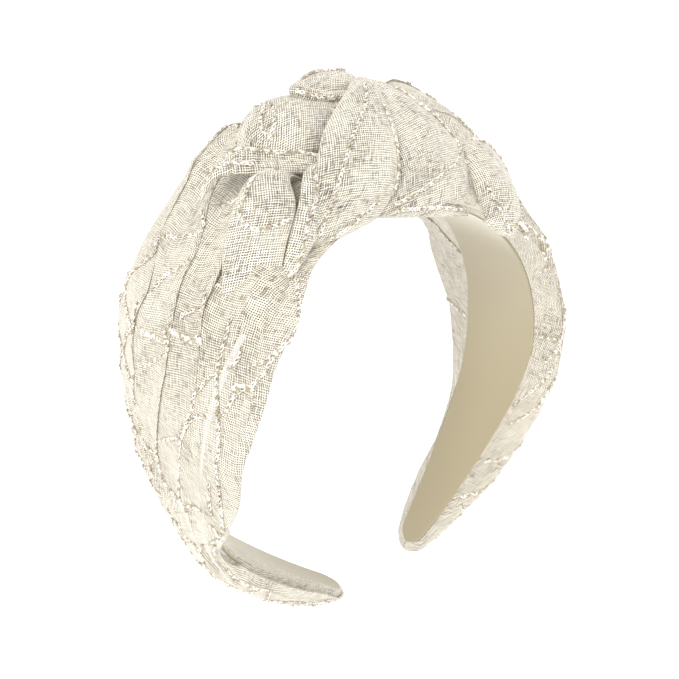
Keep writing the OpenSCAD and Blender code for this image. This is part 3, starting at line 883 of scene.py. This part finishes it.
linen = sheer_linen("sheer_linen", (0.84, 0.785, 0.665), (0.10, 0.075, 0.045), 0.0006)
knot_linen = sheer_linen("knot_linen", (0.90, 0.845, 0.725), (0.045, 0.033, 0.02), 0.00064)
cream_cloth = sheer_linen("cream_cloth", (0.62, 0.58, 0.49), (0.40, 0.36, 0.28), 0.0004, see_through=0.0)

# %% Satin
def satin(name, face, painted_sheen):
    """A smooth satin with a very fine weave and a painted sheen: its colour turns paler where it is seen at
    a slant.
    """
    material, tree, shader = new_material(name)
    weave = woven(tree, 0.00022)
    # Painted sheen: the slant, with a little of the weave, mixes the satin's own colour towards a paler
    # sheen colour.
    thread = maths(tree, "MULTIPLY_ADD", weave.outputs["Cover"], 0.06, slant_of(tree, 0.5))
    join(tree, ramp(tree, thread, face, painted_sheen, 0.72, 1.0), shader.inputs["Base Color"])
    raise_threads(tree, shader, weave, 0.12, 0.00005)
    shader.inputs["Roughness"].default_value = 0.42
    shader.inputs["Sheen Weight"].default_value = 0.2
    return material


# The first colour is the satin's own tan, the second its painted sheen.
tan_satin = satin("tan_satin", (0.395, 0.337, 0.217), (0.85, 0.81, 0.66))


# %% Shiny thread
def shiny_thread():
    """Pale, glossy thread whose colour is darker in small patches: partly the thread's own uneven tone,
    partly painted shade.
    """
    material, tree, shader = new_material("shiny_thread")
    place = add(tree, "ShaderNodeTexCoord")
    flecks_and_painted_shade = noise_at(tree, place.outputs["Object"], 900)
    # The dark end is partly the thread's own tone and partly painted shade for the brown shadows between
    # stitches.
    join(tree, ramp(tree, flecks_and_painted_shade, (0.42, 0.35, 0.24), (0.93, 0.90, 0.83), 0.42, 0.55),
         shader.inputs["Base Color"])
    shader.inputs["Roughness"].default_value = 0.28
    shader.inputs["Specular IOR Level"].default_value = 0.7
    return material


thread_sheen = shiny_thread()

# %% Dressing the pieces
WEARS = [
    (cream_cloth, [left_base, right_base]),
    (thread_sheen, [left_thread, right_thread, knot_thread]),
    (linen, [left_sleeve, right_sleeve]),
    (tan_satin, [left_lining, right_lining]),
    (knot_linen, knot_cloth.values()),
]
for material, pieces in WEARS:
    for piece in pieces:
        piece.data.materials.append(material)
    print(material.name, "on", len(pieces), "pieces")

# %% [markdown]
# ## Bodies of the pieces
# The real band bends all along its length. Here a piece of one side has its place baked into its mesh
# and is given no body, and every other piece is attached to the crown.


def bend_with(piece):
    """Bakes a piece's place into its mesh; the piece is given no body."""
    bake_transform(piece)


def settle(piece, nodes, side=0):
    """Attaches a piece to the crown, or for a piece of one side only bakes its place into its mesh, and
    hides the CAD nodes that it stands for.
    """
    if side:
        bend_with(piece)
    else:
        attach(piece, "crown")
    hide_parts(*nodes)


for piece, side, name in ((left_sleeve, -1, "left"), (right_sleeve, 1, "right")):
    settle(piece, [f"sleeve_{name}_leg", f"gather_{name}", f"tip_fold_{name}"], side)
for piece, side, name in ((left_base, -1, "left"), (right_base, 1, "right")):
    settle(piece, [f"base_cloth_{name}_leg", "base_cloth_crown"], side)
for piece, side, name in ((left_thread, -1, "left"), (right_thread, 1, "right")):
    settle(piece, [f"stitching_{name}"], side)
settle(knot_thread, ["stitching_knot"])
for piece, side, name in ((left_lining, -1, "left"), (right_lining, 1, "right")):
    settle(piece, [f"lining_{name}_leg", "lining_crown"], side)

# %% Bodies of the knot
STANDS_FOR = {
    "front_leaf": ["knot_front_loop", "knot_heart"],
    "right_fold": ["knot_right_loop"],
    "left_pouf": ["knot_left_loop"],
    "top_flap": ["knot_top_roll"],
    "top_roll": ["knot_top_roll"],
    "upper_flat_fold": ["knot_flat_fold"],
    "lower_flat_fold": ["knot_flat_fold"],
    "right_bulb": ["knot_right_bulb"],
    "back_wrap": ["knot_heart"],
    "narrow_front_pleat": ["gather_left"],
    "wide_front_pleat": ["gather_left"],
}
for name, nodes in STANDS_FOR.items():
    settle(knot_cloth[name], nodes, side=-1 if name.endswith("front_pleat") else 0)
print(len(STANDS_FOR), "folds of the knot settled")

# %% [markdown]
# ## Studio
# A pale floor lies well below the band, under a bright even sky, with a large soft lamp at the upper
# left and a weaker one at the right. More lamps could be added, but they would flatten the folds.

# %% Floor
FLOOR_DROP = 0.12  # metres from the band's lowest point to the floor
bpy.ops.object.select_all(action="DESELECT")
bpy.ops.mesh.primitive_plane_add(size=12, location=(0, 0, cad_box[0][2] - FLOOR_DROP))
floor = bpy.context.object
floor.name = "floor"
floor_paint, tree, shader = new_material("floor_paint")
shader.inputs["Base Color"].default_value = (0.9, 0.9, 0.9, 1)
shader.inputs["Roughness"].default_value = 0.9
shader.inputs["Emission Color"].default_value = (1, 1, 1, 1)
shader.inputs["Emission Strength"].default_value = 0.35
floor.data.materials.append(floor_paint)
print("floor at", round(floor.location.z, 3), "m")

# %% Sky and lamps
world = bpy.data.worlds.new("studio")
bpy.context.scene.world = world
world.use_nodes = True
world.node_tree.nodes["Background"].inputs["Color"].default_value = (1, 1, 1, 1)
world.node_tree.nodes["Background"].inputs["Strength"].default_value = 0.8


def soft_lamp(name, location, size, power):
    """A square lamp that faces the middle of the band."""
    lamp = bpy.data.objects.new(name, bpy.data.lights.new(name, "AREA"))
    lamp.data.size = size
    lamp.data.energy = power
    lamp.location = location
    lamp.rotation_euler = Vector(location).to_track_quat("Z", "Y").to_euler()
    bpy.context.collection.objects.link(lamp)


soft_lamp("key_lamp", (-0.7, -0.5, 0.9), 0.5, 11)
soft_lamp("fill_lamp", (0.8, -0.9, 0.3), 0.8, 3)
bpy.context.scene.view_settings.view_transform = "Standard"
print("a sky and two lamps")
